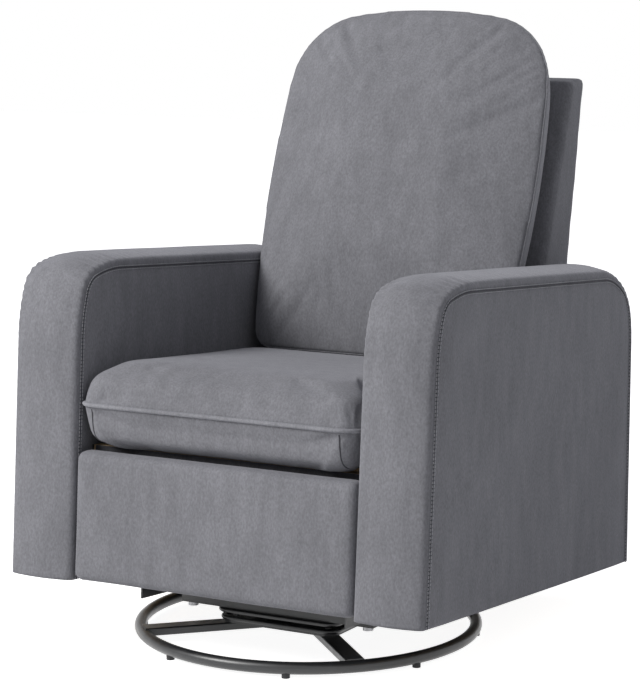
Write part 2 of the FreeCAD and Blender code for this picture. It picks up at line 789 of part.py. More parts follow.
def back_brackets():
    """Steel arms on the sides of the back, turning on the recline pivots."""
    plate = bar([(BACK_PIVOT_Y, BACK_PIVOT_Z), (318, 430), (340, 540)], 38, BACK_HALF, BACK_HALF + BACK_SHEET)
    plate = plate.cut(rod_x(8.0 + RUNNING, BACK_HALF - 1, PLATE_IN, BACK_PIVOT_Y, BACK_PIVOT_Z))
    return in_body(both(plate))


def recline_pins():
    pin = rod_x(8.0, BACK_HALF + 0.3, ARM_INNER, BACK_PIVOT_Y, BACK_PIVOT_Z)
    return in_body(both(pin))


def rear_rise(z):
    return ARM_REAR_AT_300 - (z - 300.0) * math.tan(math.radians(ARM_REAR_LEAN))


def rear_board():
    profile = [(376, 100), (388, 100), (384, 292), (372, 292)]
    return in_body(side_plate(profile, -ARM_INNER, ARM_INNER))


def rear_pad():
    """Lower rear panel; its top slopes to leave room for the reclined back."""
    profile = [
        (388, 100), (rear_rise(100) - 6, 100), (rear_rise(334) - 6, 334), (rear_rise(340) - 9, 340),
        (397, 336), (365, 301), (365, 292), (384, 292),
    ]
    return in_body(side_plate(profile, -ARM_INNER, ARM_INNER))


# Footrest and its linkage


def spot(f, z):
    """Side-view place (y, z) of a point given by its forward reach."""
    return (-f, z)


def linkage():
    """Rest places of the linkage pivots as (y, z) in the body frame."""
    angle = math.radians(F_REAR_LINK_REST)
    kf = F_J1[0] + F_REAR_LINK * math.cos(angle)
    kz = F_J1[1] + F_REAR_LINK * math.sin(angle)
    f, z = F_BOARD_PIVOT
    return {
        "j1": spot(*F_J1),
        "j3": spot(*F_J3),
        "knee": spot(kf, kz),
        "tail": spot(kf + F_C2_OFFSET[0], kz + F_C2_OFFSET[1]),
        "heel": spot(F_J1[0] + F_M1_OFFSET[0], F_J1[1] + F_M1_OFFSET[1]),
        "board": spot(f, z),
        "ear": spot(f + F_B4_OFFSET[0], z + F_B4_OFFSET[1]),
    }


def bored(shape, x0, places, radius):
    for y, z in places:
        shape = shape.cut(rod_x(radius, x0 - 1, x0 + LINK_SHEET + 1, y, z))
    return shape


def rear_links():
    at = linkage()
    x0 = PLANE_REAR
    plate = bar([at["j1"], at["knee"], at["heel"], at["j1"]], 2 * F_EYE - 2, x0, x0 + LINK_SHEET)
    plate = bored(plate, x0, [at["j1"]], F_PIN + RUNNING)
    plate = bored(plate, x0, [at["knee"], at["heel"]], F_PIN)
    return in_body(both(plate))


def torque_tube():
    y, z = linkage()["j1"]
    reach = PLANE_REAR
    tube = box(-reach, reach, y - 10, y + 10, z - 10, z + 10)
    return in_body(tube.cut(box(-reach - 1, reach + 1, y - 8, y + 8, z - 8, z + 8)))


def front_links():
    at = linkage()
    x0 = PLANE_FRONT
    plate = bar([at["tail"], at["knee"], at["board"]], 2 * F_EYE, x0, x0 + LINK_SHEET)
    plate = bored(plate, x0, [at["knee"]], F_PIN + RUNNING)
    return in_body(both(bored(plate, x0, [at["tail"], at["board"]], F_PIN)))


def control_links():
    """Cranked link from the side plate to the front link's tail, clear of the drive pivot."""
    at = linkage()
    x0 = PLANE_CONTROL
    crank = (-120.0, 262.0)
    plate = bar([at["j3"], crank, at["tail"]], 18, x0, x0 + LINK_SHEET)
    plate = plate.fuse(rod_x(F_EYE, x0, x0 + LINK_SHEET, *at["tail"])).removeSplitter()
    plate = bored(plate, x0, [at["j3"]], F_PIN + RUNNING)
    return in_body(both(bored(plate, x0, [at["tail"]], F_PIN + F_OPEN_PLAY)))


def board_links():
    at = linkage()
    x0 = PLANE_BOARD
    plate = bar([at["heel"], at["ear"]], 18, x0, x0 + LINK_SHEET)
    plate = plate.fuse(rod_x(F_EYE, x0, x0 + LINK_SHEET, *at["ear"])).removeSplitter()
    plate = bored(plate, x0, [at["heel"]], F_PIN + RUNNING)
    return in_body(both(bored(plate, x0, [at["ear"]], F_PIN + F_OPEN_PLAY)))


def footrest_brackets():
    at = linkage()
    x0 = PLANE_BRACKET
    web = side_plate([(-360, 300), (-360, 196), (-354, 196), (-336, 280), (-338, 300)], x0, x0 + LINK_SHEET)
    ear = bar([at["board"], at["ear"]], 18, x0, x0 + LINK_SHEET)
    flange = box(222, x0 + LINK_SHEET, -360, -357, 130, 300)
    bracket = web.fuse([ear, flange]).removeSplitter()
    bracket = bored(bracket, x0, [at["board"]], F_PIN + RUNNING)
    return in_body(both(bored(bracket, x0, [at["ear"]], F_PIN)))


def pins(spans):
    """Round pins on both sides of the chair, from (place, near x, far x)."""
    shapes = []
    for (y, z), x0, x1 in spans:
        pin = rod_x(F_PIN, x0, x1, y, z)
        shapes += [pin, mirrored(pin)]
    return in_body(group(shapes))


def footrest_board():
    return in_body(box(-250, 250, PAD_REAR, FOOT_BOARD_REAR, PAD_LOW + 12, PAD_TOP - 14))


def footrest_pad():
    """Upholstered front panel, lofted from its rear edge to a gently full face."""
    middle = (PAD_LOW + PAD_TOP) / 2
    half_height = (PAD_TOP - PAD_LOW) / 2
    corner = 14.0
    sections = []
    for y, inset in ((PAD_REAR, 3.0), (-378.0, 0.5), (-392.0, 0.0), (-403.0, 2.0), (-409.0, 6.5), (PAD_FRONT, 13.5)):
        quarter = (corner, 90.0)
        steps = [(2 * (PAD_HALF - corner), None), quarter, (2 * (half_height - corner), None), quarter] * 2
        place = lambda u, v, y=y: Vector(u, y, v)
        sections.append(outline(place, (PAD_HALF - corner, middle - half_height), 180.0, steps, -inset))
    return in_body(Part.makeLoft(sections, True, False))


# Release handle


def handle_block(grow):
    half_y = HANDLE_LENGTH / 2 + grow
    half_z = HANDLE_HEIGHT / 2 + grow
    return box(
        -BODY_HALF - 5, -BODY_HALF + HANDLE_DEPTH,
        HANDLE_Y - half_y, HANDLE_Y + half_y, HANDLE_Z - half_z, HANDLE_Z + half_z,
    )


def release_bezel():
    """Recessed cup with a rim over the cover and a hinge pin near its front end."""
    face = -BODY_HALF - HANDLE_FLANGE
    half_y = HANDLE_LENGTH / 2
    half_z = HANDLE_HEIGHT / 2
    back = -BODY_HALF + HANDLE_DEPTH
    cup = box(face, back, HANDLE_Y - half_y, HANDLE_Y + half_y, HANDLE_Z - half_z, HANDLE_Z + half_z)
    rim = box(
        face, -BODY_HALF, HANDLE_Y - half_y - 8, HANDLE_Y + half_y + 8,
        HANDLE_Z - half_z - 8, HANDLE_Z + half_z + 8,
    )
    corners = [e for e in rim.Edges if e.BoundBox.XMax - e.BoundBox.XMin > 2]
    rim = rim.makeFillet(12.0, corners)
    w = HANDLE_WALL
    inside = box(
        face - 1, back - w, HANDLE_Y - half_y + w, HANDLE_Y + half_y - w,
        HANDLE_Z - half_z + w, HANDLE_Z + half_z - w,
    )
    pin = rod_z(2.5, *lever_axis(), HANDLE_Z - half_z + w, HANDLE_Z + half_z - w)
    return in_body(cup.fuse(rim).cut(inside).fuse(pin).removeSplitter())


def lever_axis():
    return -BODY_HALF + 5.0, HANDLE_Y - HANDLE_LENGTH / 2 + 12.0


def release_lever():
    x, y = lever_axis()
    half = HANDLE_HEIGHT / 2 - HANDLE_WALL - 2
    plate = box(-BODY_HALF - 2, -BODY_HALF + 3, y, y + 74, HANDLE_Z - half, HANDLE_Z + half)
    knuckle = rod_z(6.0, x, y, HANDLE_Z - half, HANDLE_Z + half)
    lip = box(-BODY_HALF + 3, -BODY_HALF + 9, y + 68, y + 74, HANDLE_Z - half, HANDLE_Z + half)
    lever = plate.fuse([knuckle, lip]).cut(rod_z(2.5 + RUNNING, x, y, HANDLE_Z - 40, HANDLE_Z + 40))
    return in_body(lever.removeSplitter())


def build():
    at = linkage()
    return {
        "base_ring": base_ring(),
        "base_spokes": base_spokes(),
        "base_glides": base_glides(),
        "hub_plate": hub_plate(),
        "hub_bolts": hub_bolts(),
        "swivel_lower_race": swivel_lower_race(),
        "swivel_upper_race": swivel_upper_race(),
        "bearing_balls": bearing_balls(),
        "bearing_cage": bearing_cage(),
        "swivel_pivot_bolt": swivel_pivot_bolt(),
        "swivel_pivot_nut": swivel_pivot_nut(),
        "cradle_front_rail": cradle_cross_rail(-1),
        "cradle_rear_rail": cradle_cross_rail(1),
        "cradle_side_rails": cradle_side_rails(),
        "cradle_towers": cradle_towers(),
        "cradle_bolts": cradle_bolts(),
        "upper_link_pins": upper_link_pins(),
        "front_swing_links": swing_links(0),
        "front_link_bushes": link_bushes(0),
        "rear_swing_links": swing_links(1),
        "rear_link_bushes": link_bushes(1),
        "carriage_rails": carriage_rails(),
        "lower_link_pins": lower_link_pins(),
        "carriage_cross_bars": cross_bars(),
        "mechanism_side_plates": mechanism_side_plates(),
        "mechanism_legs": mechanism_legs(),
        "carriage_bolts": carriage_bolts(),
        "seat_front_rail": seat_rail(*FRONT_RAIL_Y, SEAT_RAIL_HEIGHT),
        "seat_rear_rail": seat_rail(*REAR_RAIL_Y, SEAT_RAIL_HEIGHT + 15),
        "seat_webbing": seat_webbing(),
        "seat_cushion": seat_cushion(),
        "left_arm_cover": arm_cover(1),
        "right_arm_cover": arm_cover(-1),
        "left_arm_frame": arm_frame(1),
        "right_arm_frame": arm_frame(-1),
        "rear_board": rear_board(),
        "rear_pad": rear_pad(),
        "recline_pins": recline_pins(),
        "back_brackets": back_brackets(),
        "back_frame": back_frame(),
        "back_webbing": back_webbing(),
        "back_cover": back_cover(),
        "back_cushion": back_cushion(),
        "footrest_rear_links": rear_links(),
        "footrest_torque_tube": torque_tube(),
        "footrest_front_links": front_links(),
        "footrest_control_links": control_links(),
        "footrest_board_links": board_links(),
        "footrest_plate_pins": pins([(at["j1"], PLANE_REAR, ARM_INNER), (at["j3"], PLANE_CONTROL, ARM_INNER)]),
        "footrest_knee_pins": pins([
            (at["knee"], PLANE_REAR, PLANE_FRONT + LINK_SHEET), (at["heel"], PLANE_BOARD, PLANE_REAR + LINK_SHEET),
        ]),
        "footrest_front_pins": pins([
            (at["tail"], PLANE_FRONT, PLANE_CONTROL + LINK_SHEET),
            (at["board"], PLANE_BRACKET, PLANE_FRONT + LINK_SHEET),
        ]),
        "footrest_ear_pins": pins([(at["ear"], PLANE_BRACKET, PLANE_BOARD + LINK_SHEET)]),
        "footrest_brackets": footrest_brackets(),
        "footrest_board": footrest_board(),
        "footrest_pad": footrest_pad(),
        "release_bezel": release_bezel(),
        "release_lever": release_lever(),
    }


def main():
    os.makedirs("parts", exist_ok=True)
    for name, shape in build().items():
        shape.exportStep(f"parts/{name}.step")


main()
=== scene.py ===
import json
import math

import bmesh
import bpy
import numpy as np
from mathutils import Matrix, Vector, noise
from mathutils.bvhtree import BVHTree


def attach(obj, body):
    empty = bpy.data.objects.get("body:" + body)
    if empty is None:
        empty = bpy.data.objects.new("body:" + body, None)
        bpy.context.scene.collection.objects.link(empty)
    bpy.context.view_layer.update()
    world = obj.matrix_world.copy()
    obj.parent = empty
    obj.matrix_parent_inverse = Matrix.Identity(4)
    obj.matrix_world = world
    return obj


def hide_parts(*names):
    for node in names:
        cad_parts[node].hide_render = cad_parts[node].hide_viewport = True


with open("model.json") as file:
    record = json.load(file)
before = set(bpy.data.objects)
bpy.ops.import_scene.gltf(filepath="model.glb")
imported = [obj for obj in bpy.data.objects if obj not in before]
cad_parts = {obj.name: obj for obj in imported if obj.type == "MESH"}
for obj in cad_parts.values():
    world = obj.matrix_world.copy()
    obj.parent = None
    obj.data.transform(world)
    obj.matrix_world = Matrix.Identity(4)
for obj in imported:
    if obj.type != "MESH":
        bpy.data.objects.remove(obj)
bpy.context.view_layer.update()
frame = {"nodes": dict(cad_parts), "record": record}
nodes = frame["nodes"]

# Lengths are metres. The upholstery is drawn upright in the body frame of the chair,
# then pitched back to where it hangs on the glide links.
PITCH = math.radians(4.5)
PITCH_Z = 0.300
BODY_Y = -0.024
BODY = (
    Matrix.Translation((0, BODY_Y, PITCH_Z))
    @ Matrix.Rotation(-PITCH, 4, "X")
    @ Matrix.Translation((0, 0, -PITCH_Z))
)

# Camera, from the fit of the chair's edges to the photo
CAMERA_AT = (2.091, -3.757, 1.158)
CAMERA_AIM = (0.0, -0.024, 0.4509)
CAMERA_ROLL = math.radians(-0.11)
CAMERA_LENS = 128.73
CAMERA_SHIFT = (-0.0194, 0.0366)

# Arms
BODY_HALF = 0.395
ARM_INNER = 0.271
ARM_BOTTOM = 0.098
ARM_FRONT = -0.410
ARM_TOP = 0.638
ARM_REAR_AT_300 = 0.413
ARM_REAR_LEAN = math.radians(4.0)
ARM_CROWN = 0.0105
ARM_FRONT_CORNER = [(0.2755, 17.0), (0.0555, 55.0), (0.2555, 18.0)]
ARM_REAR_CORNER = [(0.1835, 30.0), (0.1045, 46.0), (0.270, 10.0)]
ARM_ROUND = 0.009
COVER_THICKNESS = 0.014
PATH_SPACING = 0.0055
FRONT_CORNER_AT = 0.53
REAR_CORNER_BACK = 0.50
GATHERS = 60.0
PUCKER_DEPTH = 0.0055
PUCKER_INSET = 0.012
PUCKER_SPREAD = 0.013
STITCH_INSETS = (0.0120, 0.0180)
SEAM_INSET = 0.0150
STITCH_PITCH = 0.0062
STITCH_LENGTH = 0.0042
THREAD_RADIUS = 0.0008
SEAM_RADIUS = 0.0011

# Recess of the release handle in the right arm, and the margin of the cut round it
HANDLE_Y = -0.190
HANDLE_Z = 0.440
HANDLE_HALF = (0.060, 0.028)
HANDLE_MARGIN = 0.0035

# Seat and back
SEAT_SEAM_Z = 0.399
BACK_LEAN = math.radians(15.5)
CUSHION_SEAM_Y = 0.175
CUSHION_SEAM_Z = 0.640
CUSHION_MIDDLE_S = 0.215
CUSHION_VOXEL = 0.006
PRESSURE = 4.0
CLOTH_FRAMES = 20
HELD = 0.004
PIPING = 0.0036
EDGE_SEAM = 0.0019
CORNER_SEAM_X = 0.236


# Materials


class Shader:
    """A small node tree with one principled shader."""

    def __init__(self, name, **sockets):
        self.material = bpy.data.materials.new(name)
        self.material.use_nodes = True
        self.tree = self.material.node_tree
        self.shader = self.tree.nodes["Principled BSDF"]
        for socket, value in sockets.items():
            self.shader.inputs[socket.replace("_", " ")].default_value = value
        self.place = self.add("ShaderNodeTexCoord").outputs["Object"]

    def add(self, kind, **values):
        node = self.tree.nodes.new(kind)
        for key, value in values.items():
            setattr(node, key, value)
        return node

    def link(self, a, b):
        self.tree.links.new(a, b)

    def stretched(self, scale):
        node = self.add("ShaderNodeMapping")
        node.inputs["Scale"].default_value = scale
        self.link(self.place, node.inputs["Vector"])
        return node.outputs["Vector"]

    def noise(self, scale, detail=2.0, stretch=(1, 1, 1), roughness=0.5):
        node = self.add("ShaderNodeTexNoise")
        node.inputs["Scale"].default_value = scale
        node.inputs["Detail"].default_value = detail
        node.inputs["Roughness"].default_value = roughness
        self.link(self.stretched(stretch), node.inputs["Vector"])
        return node.outputs["Fac"]

    def span(self, value, low, high, source=(0.3, 0.7)):
        node = self.add("ShaderNodeMapRange")
        for key, number in zip(("From Min", "From Max", "To Min", "To Max"), (*source, low, high)):
            node.inputs[key].default_value = number
        self.link(value, node.inputs["Value"])
        return node.outputs["Result"]

    def times(self, a, b):
        node = self.add("ShaderNodeMath", operation="MULTIPLY")
        self.link(a, node.inputs[0])
        self.link(b, node.inputs[1])
        return node.outputs[0]

    def colour(self, base, factor):
        """The base colour made lighter and darker by a factor around 1."""
        node = self.add("ShaderNodeVectorMath", operation="SCALE")
        node.inputs[0].default_value = base
        self.link(factor, node.inputs["Scale"])
        self.link(node.outputs["Vector"], self.shader.inputs["Base Color"])

    def rough(self, value):
        self.link(value, self.shader.inputs["Roughness"])

    def bump(self, height, strength, distance):
        node = self.add("ShaderNodeBump")
        node.inputs["Strength"].default_value = strength
        node.inputs["Distance"].default_value = distance
        self.link(height, node.inputs["Height"])
        normal = self.shader.inputs["Normal"]
        if normal.links:
            self.link(normal.links[0].from_socket, node.inputs["Normal"])
        self.link(node.outputs["Normal"], normal)


def velvet(name, base):
    """Short-pile velvet: mottled nap, faint vertical streaks and a soft sheen."""
    m = Shader(
        name, Roughness=0.9, Sheen_Weight=0.35, Sheen_Roughness=0.45,
        Sheen_Tint=(0.80, 0.80, 0.88, 1.0), Specular_IOR_Level=0.15,
    )
    clouds = m.span(m.noise(5.0, 3.0), 0.93, 1.07)
    streaks = m.span(m.noise(42.0, 4.0, (1.0, 1.0, 0.3), 0.6), 0.90, 1.10)
    fleck = m.noise(330.0, 2.0, (1.0, 1.0, 0.55), 0.6)
    m.colour(base, m.times(m.times(clouds, streaks), m.span(fleck, 0.84, 1.16)))
    m.bump(fleck, 0.35, 0.0012)
    m.bump(m.noise(1100.0, 1.0), 0.25, 0.0006)
    return m.material


def powder_coat():
    m = Shader("black_metal", Metallic=0.0, Specular_IOR_Level=0.6, Coat_Weight=0.25, Coat_Roughness=0.25)
    m.colour((0.017, 0.018, 0.020), m.span(m.noise(60.0, 3.0), 0.8, 1.2))
    m.rough(m.span(m.noise(25.0, 3.0), 0.30, 0.44))
    m.bump(m.noise(900.0, 2.0), 0.12, 0.0004)
    return m.material


def zinc_steel():
    m = Shader("plated_steel", Metallic=1.0)
    m.colour((0.50, 0.50, 0.52), m.span(m.noise(120.0, 3.0), 0.85, 1.1))
    m.rough(m.span(m.noise(400.0, 2.0), 0.28, 0.46))
    m.bump(m.noise(1500.0, 1.0), 0.08, 0.0002)
    return m.material


def plywood():
    """Birch board: long grain along the sheet, darker plies through its edge."""
    m = Shader("plywood", Specular_IOR_Level=0.3)
    grain = m.noise(16.0, 5.0, (1.0, 9.0, 1.3), 0.65)
    plies = m.noise(420.0, 1.0, (1.0, 0.02, 0.02))
    m.colour((0.56, 0.40, 0.23), m.times(m.span(grain, 0.78, 1.15), m.span(plies, 0.8, 1.08)))
    m.rough(m.span(grain, 0.55, 0.75))
    m.bump(grain, 0.2, 0.0008)
    return m.material


def webbing():
    """Woven elastic strap: fine ribs both ways."""
    m = Shader("elastic_webbing", Roughness=0.85, Sheen_Weight=0.2)
    wave = m.add("ShaderNodeTexWave", wave_type="BANDS", bands_direction="DIAGONAL")
    wave.inputs["Scale"].default_value = 130.0
    wave.inputs["Distortion"].default_value = 0.6
    m.link(m.place, wave.inputs["Vector"])
    m.colour((0.035, 0.035, 0.040), m.span(wave.outputs["Fac"], 0.6, 1.5, (0.0, 1.0)))
    m.bump(wave.outputs["Fac"], 0.6, 0.0008)
    return m.material


def moulded_plastic():
    m = Shader("black_plastic", Specular_IOR_Level=0.4)
    m.colour((0.022, 0.022, 0.024), m.span(m.noise(50.0, 2.0), 0.85, 1.15))
    m.rough(m.span(m.noise(200.0, 2.0), 0.45, 0.6))
    m.bump(m.noise(700.0, 2.0), 0.2, 0.0004)
    return m.material


FABRIC = velvet("grey_velvet", (0.200, 0.200, 0.218))
THREAD = velvet("grey_thread", (0.430, 0.430, 0.460))
# Near-black velvet that paints shade: the shade in the seam grooves of the arms and seat corners, and in the
# gap over the front rail.
SEAM_SHADE = velvet("painted_seam_shade", (0.055, 0.055, 0.062))
WELT = velvet("grey_welt", (0.250, 0.250, 0.272))
FINISHES = {
    "black_metal": powder_coat(),
    "plated_steel": zinc_steel(),
    "plywood": plywood(),
    "elastic_webbing": webbing(),
    "black_plastic": moulded_plastic(),
    "grey_velvet": FABRIC,
}


def finish_nodes():
    """Gives every carried-over node the finish of its material slot."""
    slots = {part["node"]: part["material_slot"] for part in frame["record"]["subparts"]}
    for name, node in nodes.items():
        node.data.materials.clear()
        node.data.materials.append(FINISHES[slots[name]])


# Mesh helpers


def new_piece(name, points, faces, material, smooth=True):
    mesh = bpy.data.meshes.new(name)
    mesh.from_pydata([tuple(p) for p in points], [], faces)
    mesh.materials.append(material)
    mesh.polygons.foreach_set("use_smooth", [smooth] * len(mesh.polygons))
    mesh.update()
    piece = bpy.data.objects.new(name, mesh)
    bpy.context.scene.collection.objects.link(piece)
    return piece


def apply_modifiers(piece):
    graph = bpy.context.evaluated_depsgraph_get()
    mesh = bpy.data.meshes.new_from_object(piece.evaluated_get(graph))
    piece.modifiers.clear()
    piece.data = mesh
    mesh.polygons.foreach_set("use_smooth", [True] * len(mesh.polygons))


def coordinates(piece):
    flat = np.empty(len(piece.data.vertices) * 3)
    piece.data.vertices.foreach_get("co", flat)
    return flat.reshape(-1, 3)


def set_coordinates(piece, points):
    piece.data.vertices.foreach_set("co", np.asarray(points).ravel())
    piece.data.update()


def dress(piece, body, *replaced, fill=None):
    """Pitches a finished piece to its place, ties it to the body it rides on and hides the nodes it replaces.
    """
    piece.data.transform(BODY)
    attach(piece, body)
    if replaced:
        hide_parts(*replaced)
    return piece


def tube(name, path, radius, material, sides=8, closed=False):
    """Round cord along a list of points, with frames carried smoothly along it."""
    points = [Vector(p) for p in path]
    count = len(points)
    rings = []
    side = None
    for i, here in enumerate(points):
        before = points[i - 1] if closed or i else here
        after = points[(i + 1) % count] if closed or i < count - 1 else here
        ahead = (after - before).normalized()
        if side is None:
            side = ahead.orthogonal().normalized()
        side = (side - ahead * side.dot(ahead)).normalized()
        other = ahead.cross(side)
        for k in range(sides):
            angle = 2 * math.pi * k / sides
            rings.append(here + (side * math.cos(angle) + other * math.sin(angle)) * radius)
    faces = []
    for i in range(count if closed else count - 1):
        a = i * sides
        b = (i + 1) % count * sides
        for k in range(sides):
            k2 = (k + 1) % sides
            faces.append((a + k, a + k2, b + k2, b + k))
    if not closed:
        faces.append(tuple(reversed(range(sides))))
        faces.append(tuple(range((count - 1) * sides, count * sides)))
    return new_piece(name, rings, faces, material)


def join(name, pieces):
    """One piece from several that share a material."""
    points = []
    faces = []
    for piece in pieces:
        base = len(points)
        points += [tuple(v.co) for v in piece.data.vertices]
        faces += [tuple(base + v for v in f.vertices) for f in piece.data.polygons]
        material = piece.data.materials[0]
        bpy.data.objects.remove(piece)
    return new_piece(name, points, faces, material)


def smoothstep(t):
    t = min(max(t, 0.0), 1.0)
    return t * t * (3 - 2 * t)


# Arms


def turtle(start, heading, steps, spacing):
    """Points, outward normals and distances along tangent lines and clockwise arcs, in (y, z)."""
    angle = math.radians(heading)
    y, z = start
    samples = [(y, z, angle, 0.0)]
    gone = 0.0
    for size, turn in steps:
        length = size if turn is None else size * math.radians(turn)
        parts = max(1, round(length / spacing))
        for _ in range(parts):
            step = length / parts
            if turn is None:
                y += step * math.cos(angle)
                z += step * math.sin(angle)
            else:
                after = angle - step / size
                y += size * (math.sin(angle) - math.sin(after))
                z += size * (math.cos(after) - math.cos(angle))
                angle = after
            gone += step
            samples.append((y, z, angle, gone))
    return [(y, z, -math.sin(a), math.cos(a), s) for y, z, a, s in samples]


def reach(heading, steps):
    end = turtle((0.0, 0.0), heading, steps, 1.0)[-1]
    return end[0], end[1]


def arm_path():
    front = reach(90.0, ARM_FRONT_CORNER)
    rear = reach(0.0, ARM_REAR_CORNER)
    rear_z = ARM_TOP + rear[1]
    rear_y = ARM_REAR_AT_300 - (rear_z - PITCH_Z) * math.tan(ARM_REAR_LEAN)
    steps = [(ARM_TOP - ARM_BOTTOM - front[1], None)] + ARM_FRONT_CORNER
    steps += [(rear_y - rear[0] - ARM_FRONT - front[0], None)] + ARM_REAR_CORNER
    steps += [((rear_z - ARM_BOTTOM) / math.cos(ARM_REAR_LEAN), None)]
    return turtle((ARM_FRONT, ARM_BOTTOM), 90.0, steps, PATH_SPACING)


PATH = arm_path()
STRIP_LENGTH = PATH[-1][4]


def gather_depth(s, edge):
    """Small puckers beside the seam, deepest where the strip is eased round the front corner."""
    corner = math.exp(-(((s - FRONT_CORNER_AT) / 0.10) ** 2))
    rear = math.exp(-(((s - (STRIP_LENGTH - 0.52)) / 0.12) ** 2))
    strength = 0.10 + 0.90 * max(corner, 0.6 * rear)
    wobble = noise.noise(Vector((s * 25.0, edge, 0.0)))
    return strength * (0.5 + 0.5 * math.sin(s * 2 * math.pi * GATHERS + 4.0 * wobble))


def strip_section():
    """Shares of the half width, across the crowned strip: dense near both seams."""
    shares = [-1.0, -0.992, -0.975, -0.95, -0.92, -0.88, -0.82, -0.72, -0.55, -0.36, -0.18, 0.0]
    return shares + [-t for t in reversed(shares[:-1])]


def arm_strip_point(sample, share, side):
    y, z, ny, nz, s = sample
    half = (BODY_HALF - ARM_INNER) / 2
    middle = (BODY_HALF + ARM_INNER) / 2
    edge_gap = (1 - abs(share)) * half
    crown = ARM_CROWN * (1 - share * share)
    rounding = ARM_ROUND * (1 - math.sqrt(max(0.0, 1 - max(0.0, 1 - edge_gap / ARM_ROUND) ** 2)))
    beside_seam = math.exp(-(((edge_gap - PUCKER_INSET) / PUCKER_SPREAD) ** 2))
    pucker = PUCKER_DEPTH * gather_depth(s, share) * beside_seam
    slow = 0.0012 * noise.noise(Vector((s * 7.0, share * 2.0, side * 3.0)))
    lift = crown - rounding * 0.75 - pucker + slow * (1 - abs(share))
    return Vector((side * (middle + share * half), y + ny * lift, z + nz * lift))


def coons(bottom, right, top, left):
    """Grid of points filling four boundary curves; bottom and top run left to right."""
    columns = len(bottom)
    rows = len(left)
    grid = []
    for j in range(rows):
        v = j / (rows - 1)
        for i in range(columns):
            u = i / (columns - 1)
            along = bottom[i] * (1 - v) + top[i] * v
            across = left[j] * (1 - u) + right[j] * u
            corners = (bottom[0] * (1 - u) + bottom[-1] * u) * (1 - v) + (top[0] * (1 - u) + top[-1] * u) * v
            grid.append(along + across - corners)
    return grid, columns, rows


def grid_faces(columns, rows, base=0, flip=False):
    faces = []
    for j in range(rows - 1):
        for i in range(columns - 1):
            a = base + j * columns + i
            face = (a, a + 1, a + columns + 1, a + columns)
            faces.append(tuple(reversed(face)) if flip else face)
    return faces


def arm_panel(share, side, front_end, rear_start):
    """Flat side of an arm: a quad grid inside the strip's edge, very slightly full."""
    edge = [arm_strip_point(sample, share, side) for sample in PATH]
    left = edge[: front_end + 1]
    top = edge[front_end : rear_start + 1]
    right = edge[rear_start:][::-1]
    rows = len(left)
    right = [sampled(right, j / (rows - 1)) for j in range(rows)]
    start, end = left[0], right[0]
    bottom = [start.lerp(end, i / (len(top) - 1)) for i in range(len(top))]
    grid, columns, rows = coons(bottom, right, top, left)
    outward = side * share
    shaped = []
    for index, point in enumerate(grid):
        u = index % columns / (columns - 1)
        v = index // columns / (rows - 1)
        edge_share = min(u, 1 - u, 1 - v) * 2
        depth = min(1.0, edge_share * 6)
        puff = 0.0022 * smoothstep(depth) + 0.0016 * noise.noise(point * 6.0) * smoothstep(depth)
        shaped.append(point + Vector((outward * puff, 0, 0)))
    return shaped, columns, rows


def sampled(points, share):
    place = share * (len(points) - 1)
    i = min(int(place), len(points) - 2)
    return points[i].lerp(points[i + 1], place - i)


def in_recess(point):
    half_y, half_z = HANDLE_HALF
    beside = abs(point.y - HANDLE_Y) < half_y + HANDLE_MARGIN
    return point.x < HANDLE_MARGIN - BODY_HALF and beside and abs(point.z - HANDLE_Z) < half_z + HANDLE_MARGIN


def arm_cover(side, name, node):
    shares = strip_section()
    front_end = min(range(len(PATH)), key=lambda i: abs(PATH[i][4] - FRONT_CORNER_AT))
    rear_start = min(range(len(PATH)), key=lambda i: abs(PATH[i][4] - STRIP_LENGTH + REAR_CORNER_BACK))
    points = []
    for sample in PATH:
        points += [arm_strip_point(sample, share, side) for share in shares]
    faces = grid_faces(len(shares), len(PATH))
    for share in (-1.0, 1.0):
        grid, columns, rows = arm_panel(share, side, front_end, rear_start)
        faces += grid_faces(columns, rows, len(points))
        points += grid
    cover = new_piece(name, points, faces, FABRIC)
    bm = bmesh.new()
    bm.from_mesh(cover.data)
    bmesh.ops.remove_doubles(bm, verts=bm.verts, dist=0.0004)
    bmesh.ops.recalc_face_normals(bm, faces=bm.faces)
    centre = Vector((side * (BODY_HALF + ARM_INNER) / 2, 0.0, 0.35))
    top_face = max(bm.faces, key=lambda f: f.calc_center_median().z)
    if top_face.normal.dot(top_face.calc_center_median() - centre) < 0:
        bmesh.ops.reverse_faces(bm, faces=bm.faces)
    recess = [f for f in bm.faces if in_recess(f.calc_center_median())]
    bmesh.ops.delete(bm, geom=recess, context="FACES")
    bm.to_mesh(cover.data)
    bm.free()
    wall = cover.modifiers.new("wall", "SOLIDIFY")
    wall.thickness = COVER_THICKNESS
    wall.offset = -1.0
    apply_modifiers(cover)
    return dress(cover, "carriage", node, fill=0.8)


def seam_path(share, side, inset, lift):
    """Line that runs on the side panel, inset from the strip's edge, proud by lift."""
    line = []
    for y, z, ny, nz, _ in PATH:
        x = side * ((BODY_HALF + ARM_INNER) / 2 + share * ((BODY_HALF - ARM_INNER) / 2 + lift))
        line.append(Vector((x, y - ny * inset, z - nz * inset)))
    return line


def stitches(name, line, out):
    """Row of short thread runs along a line; out is how far their middles stand off."""
    distance = 0.0
    wanted = STITCH_PITCH / 2
    runs = []
    for a, b in zip(line, line[1:]):
        step = (b - a).length
        while distance + step >= wanted:
            middle = a.lerp(b, (wanted - distance) / step)
            ahead = (b - a).normalized() * STITCH_LENGTH / 2
            bow = [middle - ahead, middle - ahead * 0.5 + out, middle + ahead * 0.5 + out, middle + ahead]
            runs.append(tube("run", bow, THREAD_RADIUS, THREAD, 4))
            wanted += STITCH_PITCH
        distance += step
    return join(name, runs)


